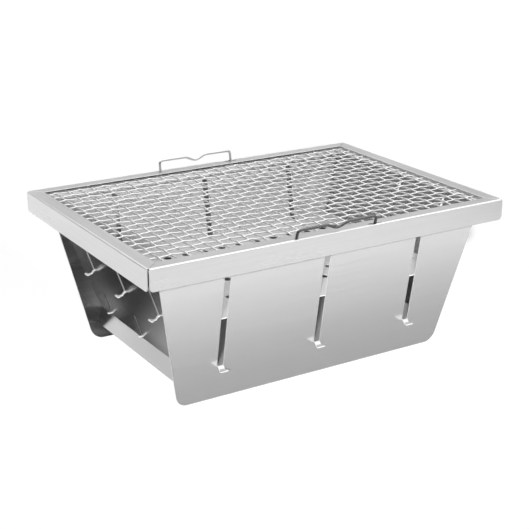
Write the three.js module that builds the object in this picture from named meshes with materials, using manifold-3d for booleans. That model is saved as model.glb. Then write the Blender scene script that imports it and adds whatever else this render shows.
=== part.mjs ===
// Knock-down charcoal grill: four leaning sheet panels, two hooked plates and a lift-off net frame.
// Millimetres, +Z up, the front faces -Y, and the origin is on the ground at the middle of the footprint.

import * as THREE from 'three';
import { mergeVertices } from 'three/addons/utils/BufferGeometryUtils.js';
import Module from 'manifold-3d';

const wasm = await Module();
wasm.setup();

// Sheets, wires and clearances
const sheet = 1;
const rimSheet = 0.8;
const netWire = 1.6;
const bailWire = 3;
const seatGap = 0.3;
const netGap = 0.15;
const edgeGap = 0.5;
const mitreGap = 0.4;
const overrun = 2;

// Rim of the net frame
const rimLength = 420;
const rimDepth = 294;
const rimTop = 169;
const rimSkirt = 22.5;
const rimBend = 2;
const skirtCorner = 4;
const sideLedge = 14;
const endLedge = 15;

// Net and the angle strips that clamp its edges
const netLap = 6;
const netColumns = 20;
const netRows = 14;
const retainerLap = 6.5;
const retainerLeg = 8;

// Wire bails
const bailSpan = 93;
const bailRise = 26;
const bailFoot = 12;
const bailBend = 4;
const bailDip = 4.6;
const dipWidth = 30;
const bailInset = 4;
const bailHole = 4;
const bailSlot = 16.7;
const frontBailShow = 8.5;
const backBailShow = 12;
const frontBailLean = THREE.MathUtils.degToRad(15);
const backBailLean = THREE.MathUtils.degToRad(6);

// Long panels: how far their outer faces and ends stay inside the rim's opening at the top
const longInset = 3.1;
const longEndInset = 1.5;
const longLean = THREE.MathUtils.degToRad(10.07);
const longFlare = THREE.MathUtils.degToRad(11.5);
const longCorner = 15;
const longSlot = 7;
const longSlotMargin = 30.5;

// End panels, in the same way
const endInset = 4.3;
const endLean = THREE.MathUtils.degToRad(18.96);
const endSlot = 3.6;
const endSlotMargin = 29.3;
const lowSlotTop = 62.5;
const foldHeight = 34.5;
const flangeTip = 18.5;
const flangeFlare = 7.8;
const flangeCorner = 8;

// Plates
const ashHeight = 37.5;
const charcoalHeight = 90.3;
const plateCorner = 5;
const ventPitch = 23;
const ventHole = 9.5;
const ventMargin = 30;

// Hooked tabs of the plates
const tabPlay = 0.6;
const tabJoggle = 3;
const tabFlat = 2.5;
const tabRamp = 3;
const headLength = 3;
const longReach = 9.5;
const longHead = 9.4;
const endReach = 10.3;
const endHead = 8;
const plainReach = 5;

// Sides of the round pieces
const bendSteps = 3;
const cornerSteps = 5;
const holeSides = 8;
const wireSides = 8;
const wireSteps = 64;

// Sizes that follow
const halfLength = rimLength / 2;
const halfDepth = rimDepth / 2;
const openHalfLength = halfLength - endLedge;
const openHalfDepth = halfDepth - sideLedge;
const netTop = rimTop - rimSheet - netGap;
const netThickness = 2 * netWire;
const netBottom = netTop - netThickness;
const retainerTop = netBottom - netGap;
const panelTop = netBottom - seatGap;
const longDraft = Math.tan(longLean);
const longWall = sheet / Math.cos(longLean);
const endDraft = Math.tan(endLean);
const endWall = sheet / Math.cos(endLean);

// Outer face of a long panel and of an end panel at a height, and the end of a long panel there
const longFace = (height) => openHalfDepth - longInset - longDraft * (panelTop - height);
const endFace = (height) => openHalfLength - endInset - endDraft * (panelTop - height);
const longEdge = (height) => openHalfLength - longEndInset - Math.tan(longFlare) * (panelTop - height);

// Half sizes of a plate that lies between the panels with its underside at a height
const plateHalfX = (height) => endFace(height) - endWall - edgeGap;
const plateHalfY = (height) => longFace(height) - longWall - edgeGap;

// The outer slots keep a margin to the corners of the ash plate
const slotPlaces = [-1, 0, 1];
const longSlotPitch = plateHalfX(ashHeight) - longSlotMargin;
const endSlotPitch = plateHalfY(ashHeight) - endSlotMargin;

// Axes that an extruded outline can be laid on: its x, its y and its depth
const alongX = new THREE.Matrix4().makeBasis(
  new THREE.Vector3(0, 1, 0), new THREE.Vector3(0, 0, 1), new THREE.Vector3(1, 0, 0));
const alongY = new THREE.Matrix4().makeBasis(
  new THREE.Vector3(1, 0, 0), new THREE.Vector3(0, 0, 1), new THREE.Vector3(0, -1, 0));
const alongZ = new THREE.Matrix4();

function toManifold(geometry) {
  const plain = geometry.clone();
  plain.deleteAttribute('normal');
  plain.deleteAttribute('uv');
  const welded = mergeVertices(plain);
  const solid = new wasm.Mesh({
    numProp: 3,
    vertProperties: new Float32Array(welded.attributes.position.array),
    triVerts: new Uint32Array(welded.index.array),
  });
  return new wasm.Manifold(solid);
}

function toGeometry(manifold) {
  const solid = manifold.getMesh();
  const geometry = new THREE.BufferGeometry();
  geometry.setAttribute('position', new THREE.BufferAttribute(solid.vertProperties, 3));
  geometry.setIndex(new THREE.BufferAttribute(solid.triVerts, 1));
  const faceted = geometry.toNonIndexed();
  faceted.computeVertexNormals();
  return faceted;
}

// An outline with depth, centred on its own plane and laid on the axes given
function prism(outline, depth, axes, segments = cornerSteps) {
  const options = { depth, bevelEnabled: false, curveSegments: segments };
  const geometry = new THREE.ExtrudeGeometry(outline, options);
  geometry.translate(0, 0, -depth / 2);
  geometry.applyMatrix4(axes);
  return toManifold(geometry);
}

function block(width, depth, height, x, y, z) {
  const geometry = new THREE.BoxGeometry(width, depth, height);
  geometry.translate(x, y, z);
  return toManifold(geometry);
}

function polygon(points) {
  return new THREE.Shape(points.map(([x, y]) => new THREE.Vector2(x, y)));
}

// A four-sided outline, wider at the top, with its two bottom corners rounded
function flaredOutline(bottomHalf, topHalf, bottom, top, radius) {
  const side = new THREE.Vector2(topHalf - bottomHalf, top - bottom).setLength(radius);
  const outline = new THREE.Shape();
  outline.moveTo(-topHalf, top);
  outline.lineTo(-bottomHalf - side.x, bottom + side.y);
  outline.quadraticCurveTo(-bottomHalf, bottom, radius - bottomHalf, bottom);
  outline.lineTo(bottomHalf - radius, bottom);
  outline.quadraticCurveTo(bottomHalf, bottom, bottomHalf + side.x, bottom + side.y);
  outline.lineTo(topHalf, top);
  outline.closePath();
  return outline;
}

function slotOutline(length, width) {
  const reach = (length - width) / 2;
  const outline = new THREE.Shape();
  outline.moveTo(-reach, -width / 2);
  outline.lineTo(reach, -width / 2);
  outline.absarc(reach, 0, width / 2, -Math.PI / 2, Math.PI / 2, false);
  outline.lineTo(-reach, width / 2);
  outline.absarc(-reach, 0, width / 2, Math.PI / 2, Math.PI * 3 / 2, false);
  return outline;
}

// Section of a rim rail: the ledge, the rolled edge and the skirt, from the outer face inwards
function railSection(ledge) {
  const section = new THREE.Shape();
  section.moveTo(ledge, 0);
  section.lineTo(rimBend, 0);
  section.absarc(rimBend, -rimBend, rimBend, Math.PI / 2, Math.PI, false);
  section.lineTo(0, -rimSkirt);
  section.lineTo(rimSheet, -rimSkirt);
  section.lineTo(rimSheet, -rimBend);
  section.absarc(rimBend, -rimBend, rimBend - rimSheet, Math.PI, Math.PI / 2, true);
  section.lineTo(ledge, -rimSheet);
  section.closePath();
  return section;
}

// One rail with mitred ends, its outer face on y = 0 and its top on z = 0
function rail(length, ledge, otherLedge) {
  const end = length / 2 - mitreGap / 2;
  const mitre = polygon([[-end, 0], [end, 0], [end - otherLedge, ledge], [otherLedge - end, ledge]]);
  const side = flaredOutline(end, end, -rimSkirt, 0, skirtCorner);
  return prism(railSection(ledge), length, alongX, bendSteps)
    .intersect(prism(mitre, 2 * (rimSkirt + overrun), alongZ))
    .intersect(prism(side, 2 * (ledge + overrun), alongY));
}

// A long rail also has the hole and the slot for the legs of its bail
function bailRail(slotSide) {
  const cutDepth = 2 * (rimSheet + overrun);
  const slot = prism(slotOutline(bailSlot, bailHole), cutDepth, alongZ)
    .translate([slotSide * bailSpan / 2, bailInset, 0]);
  const hole = toManifold(new THREE.CylinderGeometry(bailHole / 2, bailHole / 2, cutDepth, holeSides))
    .rotate([90, 0, 0])
    .translate([-slotSide * bailSpan / 2, bailInset, 0]);
  return rail(rimLength, sideLedge, endLedge).subtract(slot).subtract(hole);
}

// An angle strip under the ledge: its flange holds the net and its leg drops outside the panel tops
function retainer(length, flange) {
  const section = polygon([
    [0, 0], [flange, 0], [flange, -rimSheet], [rimSheet, -rimSheet], [rimSheet, -retainerLeg],
    [0, -retainerLeg],
  ]);
  return prism(section, length, alongX);
}

// The lines where wires of one direction start and end, from -half to half
function wireLines(half, gaps) {
  const step = (2 * half - netWire) / gaps;
  const lines = [];
  for (let wire = 0; wire <= gaps; wire += 1) {
    lines.push(wire * step - half, wire * step - half + netWire);
  }
  return lines;
}

// The net as one closed skin on the grid of those lines: odd cells both ways are the gaps
function netGrid() {
  const xs = wireLines(openHalfLength + netLap, netColumns);
  const ys = wireLines(openHalfDepth + netLap, netRows);
  const levels = [-netThickness / 2, netThickness / 2];
  const corners = levels.flatMap((z) => ys.flatMap((y) => xs.flatMap((x) => [x, y, z])));
  const corner = (i, j, level) => (level * ys.length + j) * xs.length + i;
  const inside = (i, j) => i >= 0 && j >= 0 && i < xs.length - 1 && j < ys.length - 1;
  const solid = (i, j) => inside(i, j) && !(i % 2 === 1 && j % 2 === 1);
  const faces = [];
  const quad = (a, b, c, d) => faces.push(a, b, c, a, c, d);
  const wall = (i, j, k, l) => quad(corner(i, j, 0), corner(k, l, 0), corner(k, l, 1), corner(i, j, 1));
  for (let i = 0; i < xs.length - 1; i += 1) {
    for (let j = 0; j < ys.length - 1; j += 1) {
      if (solid(i, j)) {
        quad(corner(i, j, 1), corner(i + 1, j, 1), corner(i + 1, j + 1, 1), corner(i, j + 1, 1));
        quad(corner(i, j, 0), corner(i, j + 1, 0), corner(i + 1, j + 1, 0), corner(i + 1, j, 0));
        if (!solid(i, j - 1)) wall(i, j, i + 1, j);
        if (!solid(i, j + 1)) wall(i + 1, j + 1, i, j + 1);
        if (!solid(i - 1, j)) wall(i, j + 1, i, j);
        if (!solid(i + 1, j)) wall(i + 1, j, i + 1, j + 1);
      }
    }
  }
  const geometry = new THREE.BufferGeometry();
  geometry.setAttribute('position', new THREE.Float32BufferAttribute(corners, 3));
  geometry.setIndex(faces);
  return toManifold(geometry);
}

// Centre line of a bail in its own plane, from one foot to the other
class BailCurve extends THREE.CurvePath {
  constructor() {
    super();
    const leg = bailSpan / 2;
    const dip = dipWidth / 2;
    const crest = bailRise;
    const low = bailRise - bailDip;
    const bend = bailBend;
    const at = (x, z) => new THREE.Vector3(x, 0, z);
    this.line(at(-leg - bailFoot, 0), at(-leg - bend, 0));
    this.turn(at(-leg - bend, 0), at(-leg, 0), at(-leg, bend));
    this.line(at(-leg, bend), at(-leg, crest - bend));
    this.turn(at(-leg, crest - bend), at(-leg, crest), at(bend - leg, crest));
    this.line(at(bend - leg, crest), at(-dip, crest));
    this.sway(at(-dip, crest), at(-dip / 2, crest), at(-dip / 2, low), at(0, low));
    this.sway(at(0, low), at(dip / 2, low), at(dip / 2, crest), at(dip, crest));
    this.line(at(dip, crest), at(leg - bend, crest));
    this.turn(at(leg - bend, crest), at(leg, crest), at(leg, crest - bend));
    this.line(at(leg, crest - bend), at(leg, bend));
    this.turn(at(leg, bend), at(leg, 0), at(leg + bend, 0));
    this.line(at(leg + bend, 0), at(leg + bailFoot, 0));
  }

  line(from, to) {
    this.add(new THREE.LineCurve3(from, to));
  }

  turn(from, corner, to) {
    this.add(new THREE.QuadraticBezierCurve3(from, corner, to));
  }

  sway(from, first, second, to) {
    this.add(new THREE.CubicBezierCurve3(from, first, second, to));
  }
}

function bail() {
  const wire = new THREE.Shape();
  wire.absarc(0, 0, bailWire / 2, 0, 2 * Math.PI, false);
  const options = { steps: wireSteps, curveSegments: wireSides / 2, extrudePath: new BailCurve() };
  return toManifold(new THREE.ExtrudeGeometry(wire, options));
}

// Front panel: a leaning sheet with three slots, open at the top, down to the seats of the ash plate
function longPanel() {
  const top = panelTop;
  const lean = polygon([
    [-longFace(0), 0], [longWall - longFace(0), 0], [longWall - longFace(top), top], [-longFace(top), top],
  ]);
  const outline = flaredOutline(longEdge(0), longEdge(top), 0, top, longCorner);
  const slotHeight = top + overrun - ashHeight + seatGap;
  const slotMiddle = ashHeight - seatGap + slotHeight / 2;
  let panel = prism(lean, 2 * longEdge(top), alongX)
    .intersect(prism(outline, 2 * (longFace(top) + overrun), alongY));
  for (const place of slotPlaces) {
    const cut = block(longSlot, 2 * longFace(top), slotHeight, place * longSlotPitch, 0, slotMiddle);
    panel = panel.subtract(cut);
  }
  return panel;
}

// Left panel: a leaning sheet with a flange folded outwards, slots for the charcoal plate above
// and closed slots for the ash plate below
function endPanel() {
  const top = panelTop;
  const tip = endFace(foldHeight) + flangeFlare;
  const lean = polygon([
    [-tip, flangeTip], [endWall - tip, flangeTip], [endWall - endFace(foldHeight), foldHeight],
    [endWall - endFace(top), top], [-endFace(top), top], [-endFace(foldHeight), foldHeight],
  ]);
  const halfAt = (height) => longFace(height) - longWall - edgeGap;
  const outline = flaredOutline(halfAt(flangeTip), halfAt(top), flangeTip, top, flangeCorner);
  const across = 2 * (endFace(top) + overrun);
  const highHeight = top + overrun - charcoalHeight + seatGap;
  const highMiddle = charcoalHeight - seatGap + highHeight / 2;
  const lowHeight = lowSlotTop - ashHeight + seatGap;
  const lowMiddle = ashHeight - seatGap + lowHeight / 2;
  let panel = prism(lean, 2 * halfAt(top), alongY)
    .intersect(prism(outline, across, alongX));
  for (const place of slotPlaces) {
    const middle = place * endSlotPitch;
    panel = panel.subtract(block(across, endSlot, highHeight, 0, middle, highMiddle));
    panel = panel.subtract(block(across, endSlot, lowHeight, 0, middle, lowMiddle));
  }
  return panel;
}

// A tab that leaves a plate's edge along +X, steps down outside the panel and ends in a wider head
function hookedTab(neck, head, reach) {
  const section = polygon([
    [-overrun, 0], [tabFlat, 0], [tabFlat + tabRamp, -tabJoggle], [reach, -tabJoggle],
    [reach, sheet - tabJoggle], [tabFlat + tabRamp, sheet - tabJoggle], [tabFlat, sheet], [-overrun, sheet],
  ]);
  const headMiddle = sheet / 2 - tabJoggle;
  return prism(section, neck, alongY)
    .add(block(headLength, head, sheet, reach - headLength / 2, 0, headMiddle));
}

function plainTab(neck, reach) {
  return block(reach + overrun, neck, sheet, (reach - overrun) / 2, 0, sheet / 2);
}

// A copy of a tab on each of the two facing edges at one place along them
function onBothEdges(plate, tab, edge, place, turn) {
  return [turn, turn + 180].reduce(
    (joined, angle) => joined.add(tab.translate([edge, place, 0]).rotate([0, 0, angle])), plate);
}

function plateBlank(halfX, halfY) {
  const outline = new THREE.Shape();
  outline.moveTo(plateCorner - halfX, -halfY);
  outline.lineTo(halfX - plateCorner, -halfY);
  outline.quadraticCurveTo(halfX, -halfY, halfX, plateCorner - halfY);
  outline.lineTo(halfX, halfY - plateCorner);
  outline.quadraticCurveTo(halfX, halfY, halfX - plateCorner, halfY);
  outline.lineTo(plateCorner - halfX, halfY);
  outline.quadraticCurveTo(-halfX, halfY, -halfX, halfY - plateCorner);
  outline.lineTo(-halfX, plateCorner - halfY);
  outline.quadraticCurveTo(-halfX, -halfY, plateCorner - halfX, -halfY);
  return outline;
}

function ashPlate() {
  const halfX = plateHalfX(ashHeight);
  const halfY = plateHalfY(ashHeight);
  const wall = longFace(ashHeight) - halfY;
  const endThrough = endFace(ashHeight) - halfX;
  const hook = hookedTab(longSlot - tabPlay, longHead, longReach + wall);
  const stub = plainTab(endSlot - tabPlay, plainReach + endThrough);
  let plate = prism(plateBlank(halfX, halfY), sheet, alongZ).translate([0, 0, sheet / 2]);
  for (const place of slotPlaces) {
    plate = onBothEdges(plate, hook, halfY, place * longSlotPitch, 90);
    plate = onBothEdges(plate, stub, halfX, place * endSlotPitch, 0);
  }
  return plate;
}

function charcoalPlate() {
  const halfX = plateHalfX(charcoalHeight);
  const halfY = plateHalfY(charcoalHeight);
  const endThrough = endFace(charcoalHeight) - halfX;
  const hook = hookedTab(endSlot - tabPlay, endHead, endReach + endThrough);
  const outline = plateBlank(halfX, halfY);
  for (let x = ventPitch / 2; x < halfX - ventMargin; x += ventPitch) {
    for (let y = 0; y < halfY - ventMargin; y += ventPitch) {
      for (const [signX, signY] of y > 0 ? [[-1, -1], [-1, 1], [1, -1], [1, 1]] : [[-1, 1], [1, 1]]) {
        const vent = new THREE.Path();
        vent.absarc(signX * x, signY * y, ventHole / 2, 0, 2 * Math.PI, true);
        outline.holes.push(vent);
      }
    }
  }
  let plate = prism(outline, sheet, alongZ, holeSides / 2).translate([0, 0, sheet / 2]);
  for (const place of slotPlaces) {
    plate = onBothEdges(plate, hook, halfX, place * endSlotPitch, 0);
  }
  return plate;
}

function steel(color, roughness) {
  return new THREE.MeshStandardMaterial({ color, roughness, metalness: 1 });
}

function piece(name, manifold, color, roughness) {
  const mesh = new THREE.Mesh(toGeometry(manifold), steel(color, roughness));
  mesh.name = name;
  return mesh;
}

// A group turned about Z that holds one mesh at the place given
function turned(mesh, angle, x, y, z) {
  const group = new THREE.Group();
  group.rotation.z = angle;
  mesh.position.set(x, y, z);
  group.add(mesh);
  return group;
}

function buildRim(frame) {
  const quarter = Math.PI / 2;
  const endRail = rail(rimDepth, endLedge, sideLedge);
  frame.add(turned(piece('rim_front', bailRail(1), 0xd8dadb, 0.3), 0, 0, -halfDepth, rimTop));
  frame.add(turned(piece('rim_back', bailRail(-1), 0xd8dadb, 0.3), 2 * quarter, 0, -halfDepth, rimTop));
  frame.add(turned(piece('rim_left', endRail, 0xced0d1, 0.32), -quarter, 0, -halfLength, rimTop));
  frame.add(turned(piece('rim_right', endRail, 0xced0d1, 0.32), quarter, 0, -halfLength, rimTop));
}

function buildRetainers(frame) {
  const quarter = Math.PI / 2;
  const legY = longFace(panelTop) + edgeGap + rimSheet;
  const legX = longEdge(panelTop) + edgeGap + rimSheet;
  const flangeY = openHalfDepth + retainerLap - legY + rimSheet;
  const flangeX = openHalfLength + retainerLap - legX + rimSheet;
  const longStrip = retainer(2 * (openHalfLength + retainerLap), flangeY).rotate([0, 0, 180]);
  const shortStrip = retainer(2 * (legY - rimSheet - seatGap), flangeX).rotate([0, 0, 180]);
  const strips = [
    ['net_retainer_front', longStrip, 0, legY], ['net_retainer_back', longStrip, 2 * quarter, legY],
    ['net_retainer_left', shortStrip, -quarter, legX], ['net_retainer_right', shortStrip, quarter, legX],
  ];
  for (const [name, strip, angle, leg] of strips) {
    frame.add(turned(piece(name, strip, 0xb9bcbe, 0.38), angle, 0, rimSheet - leg, retainerTop));
  }
}

// The bail leans outwards, so its foot hangs inwards of the ledge hole by the same slope
function placeBail(name, show, lean, angle) {
  const mesh = piece(name, bail(), 0xe2e4e5, 0.22);
  const crossbarY = bailInset - halfDepth - show * Math.tan(lean);
  mesh.rotation.x = lean;
  const footY = crossbarY + bailRise * Math.sin(lean);
  const footZ = rimTop + show - bailRise * Math.cos(lean);
  return turned(mesh, angle, 0, footY, footZ);
}

function buildTopFrame() {
  const frame = new THREE.Group();
  buildRim(frame);
  buildRetainers(frame);
  const net = piece('grill_net', netGrid(), 0xdfe1e2, 0.25);
  net.position.z = netTop - netThickness / 2;
  frame.add(net);
  frame.add(placeBail('front_bail', frontBailShow, frontBailLean, 0));
  frame.add(placeBail('back_bail', backBailShow, backBailLean, Math.PI));
  return frame;
}

function buildBody() {
  const body = new THREE.Group();
  const quarter = Math.PI / 2;
  body.add(turned(piece('front_panel', longPanel(), 0xc6c8c9, 0.34), 0, 0, 0, 0));
  body.add(turned(piece('back_panel', longPanel(), 0xc6c8c9, 0.34), 2 * quarter, 0, 0, 0));
  body.add(turned(piece('left_panel', endPanel(), 0xbfc1c2, 0.34), 0, 0, 0, 0));
  body.add(turned(piece('right_panel', endPanel(), 0xbfc1c2, 0.34), 2 * quarter, 0, 0, 0));
  const charcoal = piece('charcoal_plate', charcoalPlate(), 0xc9cbcc, 0.36);
  charcoal.position.z = charcoalHeight;
  const ash = piece('ash_plate', ashPlate(), 0xc3c5c6, 0.36);
  ash.position.z = ashHeight;
  body.add(charcoal, ash);
  return body;
}

const grill = new THREE.Group();
grill.add(buildBody(), buildTopFrame());

export default grill;
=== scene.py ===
import math

import bmesh
import bpy
from mathutils import Matrix, Vector
from mathutils.geometry import tessellate_polygon


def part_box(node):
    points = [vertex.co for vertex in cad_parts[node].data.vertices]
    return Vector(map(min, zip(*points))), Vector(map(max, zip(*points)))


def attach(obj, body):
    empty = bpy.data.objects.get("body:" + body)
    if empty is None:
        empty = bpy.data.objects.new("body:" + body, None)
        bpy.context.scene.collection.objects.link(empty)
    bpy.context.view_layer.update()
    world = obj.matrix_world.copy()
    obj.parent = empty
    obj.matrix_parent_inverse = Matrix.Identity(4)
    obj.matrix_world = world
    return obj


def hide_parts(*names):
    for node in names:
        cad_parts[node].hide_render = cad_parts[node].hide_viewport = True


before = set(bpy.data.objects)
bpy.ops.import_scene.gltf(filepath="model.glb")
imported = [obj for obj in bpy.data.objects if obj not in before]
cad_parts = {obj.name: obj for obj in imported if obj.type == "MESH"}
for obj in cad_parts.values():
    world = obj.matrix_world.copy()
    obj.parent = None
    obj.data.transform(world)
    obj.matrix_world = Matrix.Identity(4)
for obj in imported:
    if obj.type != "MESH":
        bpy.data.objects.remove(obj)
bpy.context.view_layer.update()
quarterTurn = math.pi / 2
endLean = math.radians(18.96)  # the end panels' lean, which the fire's mark on the back panel follows
bendMargin = 0.0004  # flat strip scored beside each bend
mergeDistance = 1e-7
sheetSharpAngle = math.radians(20)
wireSharpAngle = math.radians(60)


# Camera, solved from the corners of the rim in a 529 x 529 picture

camera = {
    "azimuth": math.radians(-31.6),
    "elevation": math.radians(20.14),
    "distance": 1.3,
    "target": Vector((0, 0, 0.08)),
    "focalPixels": 1184,
    "axisPixels": (262.3, 272.8),
    "sidePixels": 529,
    "sensorWidth": 36,
    "nearest": 0.05,
}


def placeCamera(values):
    lens = bpy.data.cameras.new("camera")
    lens.sensor_width = values["sensorWidth"]
    lens.lens = lens.sensor_width * values["focalPixels"] / values["sidePixels"]
    lens.shift_x = 0.5 - values["axisPixels"][0] / values["sidePixels"]
    lens.shift_y = values["axisPixels"][1] / values["sidePixels"] - 0.5
    lens.clip_start = values["nearest"]
    holder = bpy.data.objects.new("camera", lens)
    bpy.context.scene.collection.objects.link(holder)
    back = Vector((
        math.sin(values["azimuth"]) * math.cos(values["elevation"]),
        -math.cos(values["azimuth"]) * math.cos(values["elevation"]),
        math.sin(values["elevation"]),
    ))
    holder.location = values["target"] + back * values["distance"]
    holder.rotation_euler = (-back).to_track_quat("-Z", "Y").to_euler()
    bpy.context.scene.camera = holder


placeCamera(camera)
print("camera placed")


# Flat outlines: corners are (x, y, radius) and run anticlockwise

def roundCorners(corners, steps=6):
    points = []
    for index, (x, y, radius) in enumerate(corners):
        here = Vector((x, y))
        if radius == 0:
            points.append(here)
            continue
        before = (Vector(corners[index - 1][:2]) - here).normalized()
        after = (Vector(corners[(index + 1) % len(corners)][:2]) - here).normalized()
        half = before.angle(after) / 2
        centre = here + (before + after).normalized() * (radius / math.sin(half))
        start = here + before * (radius / math.tan(half)) - centre
        turn = start.angle_signed(here + after * (radius / math.tan(half)) - centre)
        for step in range(steps + 1):
            points.append(centre + Matrix.Rotation(-turn * step / steps, 2) @ start)
    return points


def mirroredX(corners):
    return corners + [(-x, y, radius) for x, y, radius in reversed(corners)]


def slotCorners(x, y, halfWidth, halfHeight, radius):
    return [
        (x - halfWidth, y - halfHeight, radius), (x + halfWidth, y - halfHeight, radius),
        (x + halfWidth, y + halfHeight, radius), (x - halfWidth, y + halfHeight, radius),
    ]


def insetLoop(points, distance, sharpest=0.3):
    # sharpest keeps the inset of a pointed corner from running far inwards
    inset = []
    for index, here in enumerate(points):
        before = (here - points[index - 1]).normalized()
        after = (points[(index + 1) % len(points)] - here).normalized()
        middle = before + after
        normal = Vector((-middle.y, middle.x)).normalized()
        inset.append(here + normal * (distance / max(sharpest, normal.dot(Vector((-before.y, before.x))))))
    return inset


# A sheet blank with broken edges, lying flat with its middle on z = 0, scored where it will be bent

def sheetBlank(outline, holes, thickness, edge, scoreX=(), scoreY=()):
    loops = [outline] + [list(reversed(hole)) for hole in holes]
    insets = [insetLoop(loop, edge) for loop in loops]
    half = thickness / 2
    blank = bmesh.new()
    cutEdge = blank.faces.layers.float.new("cutEdge")
    top, bottom = [], []
    for loop, inset in zip(loops, insets):
        rings = [
            [blank.verts.new((p.x, p.y, z)) for p in points]
            for points, z in ((inset, half), (loop, half - edge), (loop, edge - half), (inset, -half))
        ]
        for upper, lower in zip(rings, rings[1:]):
            for index in range(len(loop)):
                side = blank.faces.new((upper[index - 1], upper[index], lower[index], lower[index - 1]))
                side[cutEdge] = 1
        top += rings[0]
        bottom += rings[3]
    flat = [[Vector((p.x, p.y, 0)) for p in inset] for inset in insets]
    for a, b, c in tessellate_polygon(flat):
        blank.faces.new((top[a], top[b], top[c]))
        blank.faces.new((bottom[c], bottom[b], bottom[a]))
    for places, normal in ((scoreX, Vector((1, 0, 0))), (scoreY, Vector((0, 1, 0)))):
        for place in places:
            everything = blank.verts[:] + blank.edges[:] + blank.faces[:]
            bmesh.ops.bisect_plane(blank, geom=everything, plane_co=normal * place, plane_no=normal,
                                   dist=mergeDistance)
    return blank


def finishSheet(name, blank, bend, place, body, node, slot):
    for vertex in blank.verts:
        vertex.co = place @ bend(vertex.co)
    finishMesh(name, blank, body, node, slot, sheetSharpAngle)


def finishMesh(name, shape, body, node, slot, sharpAngle):
    bmesh.ops.remove_doubles(shape, verts=shape.verts[:], dist=mergeDistance)
    bmesh.ops.dissolve_degenerate(shape, edges=shape.edges[:], dist=mergeDistance)
    bmesh.ops.recalc_face_normals(shape, faces=shape.faces[:])
    for face in shape.faces:
        face.smooth = True
    for edge in shape.edges:
        edge.smooth = len(edge.link_faces) == 2 and edge.calc_face_angle(0) < sharpAngle
    mesh = bpy.data.meshes.new(name)
    shape.to_mesh(mesh)
    shape.free()
    piece = bpy.data.objects.new(name, mesh)
    bpy.context.scene.collection.objects.link(piece)
    mesh.materials.append(finishes[pieceFinishes.get(name, slot)])
    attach(piece, body)
    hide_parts(node)


# Nodes: an input is linked when it is a socket and set when it is a value

def addNode(tree, kind, inputs=None, **settings):
    node = tree.nodes.new(kind)
    for setting, value in settings.items():
        setattr(node, setting, value)
    for label, value in (inputs or {}).items():
        if isinstance(value, bpy.types.NodeSocket):
            tree.links.new(value, node.inputs[label])
        elif value is not None:
            node.inputs[label].default_value = value
    return node


def calculate(tree, operation, first, second=None):
    return addNode(tree, "ShaderNodeMath", {0: first, 1: second}, operation=operation).outputs[0]


def vectorFrom(tree, parts):
    return addNode(tree, "ShaderNodeCombineXYZ", parts).outputs["Vector"]


def axesOf(tree, vector):
    return addNode(tree, "ShaderNodeSeparateXYZ", {"Vector": vector}).outputs


def graded(tree, value, start, end, first, last):
    return addNode(tree, "ShaderNodeMapRange", {
        "Value": value, "From Min": start, "From Max": end, "To Min": first, "To Max": last,
    }, interpolation_type="SMOOTHSTEP").outputs["Result"]


# Geometry Nodes: a tree with named inputs, run once on a holder and turned into a plain mesh

def newTree(name, inputs):
    tree = bpy.data.node_groups.new(name, "GeometryNodeTree")
    for label, kind in inputs:
        tree.interface.new_socket(label, in_out="INPUT", socket_type="NodeSocket" + kind)
    tree.interface.new_socket("Geometry", in_out="OUTPUT", socket_type="NodeSocketGeometry")
    return tree, addNode(tree, "NodeGroupInput")


def closeTree(tree, start, geometry):
    real = addNode(tree, "GeometryNodeRealizeInstances", {"Geometry": geometry})
    painted = addNode(tree, "GeometryNodeSetMaterial", {
        "Geometry": real.outputs["Geometry"], "Material": start.outputs["Material"],
    })
    addNode(tree, "NodeGroupOutput", {"Geometry": painted.outputs["Geometry"]})
    return tree


def roundWire(tree, start, curve):
    section = addNode(tree, "GeometryNodeCurvePrimitiveCircle", {
        "Resolution": start.outputs["Sides"], "Radius": start.outputs["Wire Radius"],
    })
    return addNode(tree, "GeometryNodeCurveToMesh", {
        "Curve": curve, "Profile Curve": section.outputs["Curve"], "Fill Caps": True,
    }).outputs["Mesh"]


def runTree(tree, mesh, values):
    holder = bpy.data.objects.new(tree.name, mesh)
    bpy.context.scene.collection.objects.link(holder)
    modifier = holder.modifiers.new(tree.name, "NODES")
    modifier.node_group = tree
    for item in tree.interface.items_tree:
        if item.in_out == "INPUT" and item.name in values:
            modifier[item.identifier] = values[item.name]
    graph = bpy.context.evaluated_depsgraph_get()
    result = bpy.data.meshes.new_from_object(holder.evaluated_get(graph), depsgraph=graph)
    holder.modifiers.clear()
    bpy.data.objects.remove(holder)
    return result


# Brushed steel: counts are per metre, along the brushing and across it

brushed = {
    "fineStreaks": {"counts": (25, 2600, 2600), "detail": 3, "roughness": 0.65},
    "broadStreaks": {"counts": (7, 420, 420), "detail": 4, "roughness": 0.6},
    "clouds": {"counts": (9, 16, 16), "detail": 2, "roughness": 0.5},
    "fineShare": 0.6,
    "depth": 0.0001,
    "contrast": 0.07,
    "scuffPatches": {"counts": (240, 240, 240), "detail": 3, "roughness": 0.6},
    "scuffLeast": 0.4,
    "scuffSpread": 0.8,
    "scuffGrey": 0.85,
    "scuffRoughness": 0.2,
    "scuffDulling": 0.3,
}


def newShaderGroup(name, inputs, outputs):
    group = bpy.data.node_groups.new(name, "ShaderNodeTree")
    for label in inputs:
        kind = "NodeSocketVector" if label == "Vector" else "NodeSocketFloat"
        group.interface.new_socket(label, in_out="INPUT", socket_type=kind)
    for label in outputs:
        group.interface.new_socket(label, in_out="OUTPUT", socket_type="NodeSocketFloat")
    return group, addNode(group, "NodeGroupInput").outputs


def addNoise(tree, vector, counts, detail, roughness):
    stretched = addNode(tree, "ShaderNodeMapping", {"Vector": vector, "Scale": counts})
    return addNode(tree, "ShaderNodeTexNoise", {
        "Vector": stretched.outputs["Vector"], "Scale": 1, "Detail": detail, "Roughness": roughness,
    }).outputs["Fac"]


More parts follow.
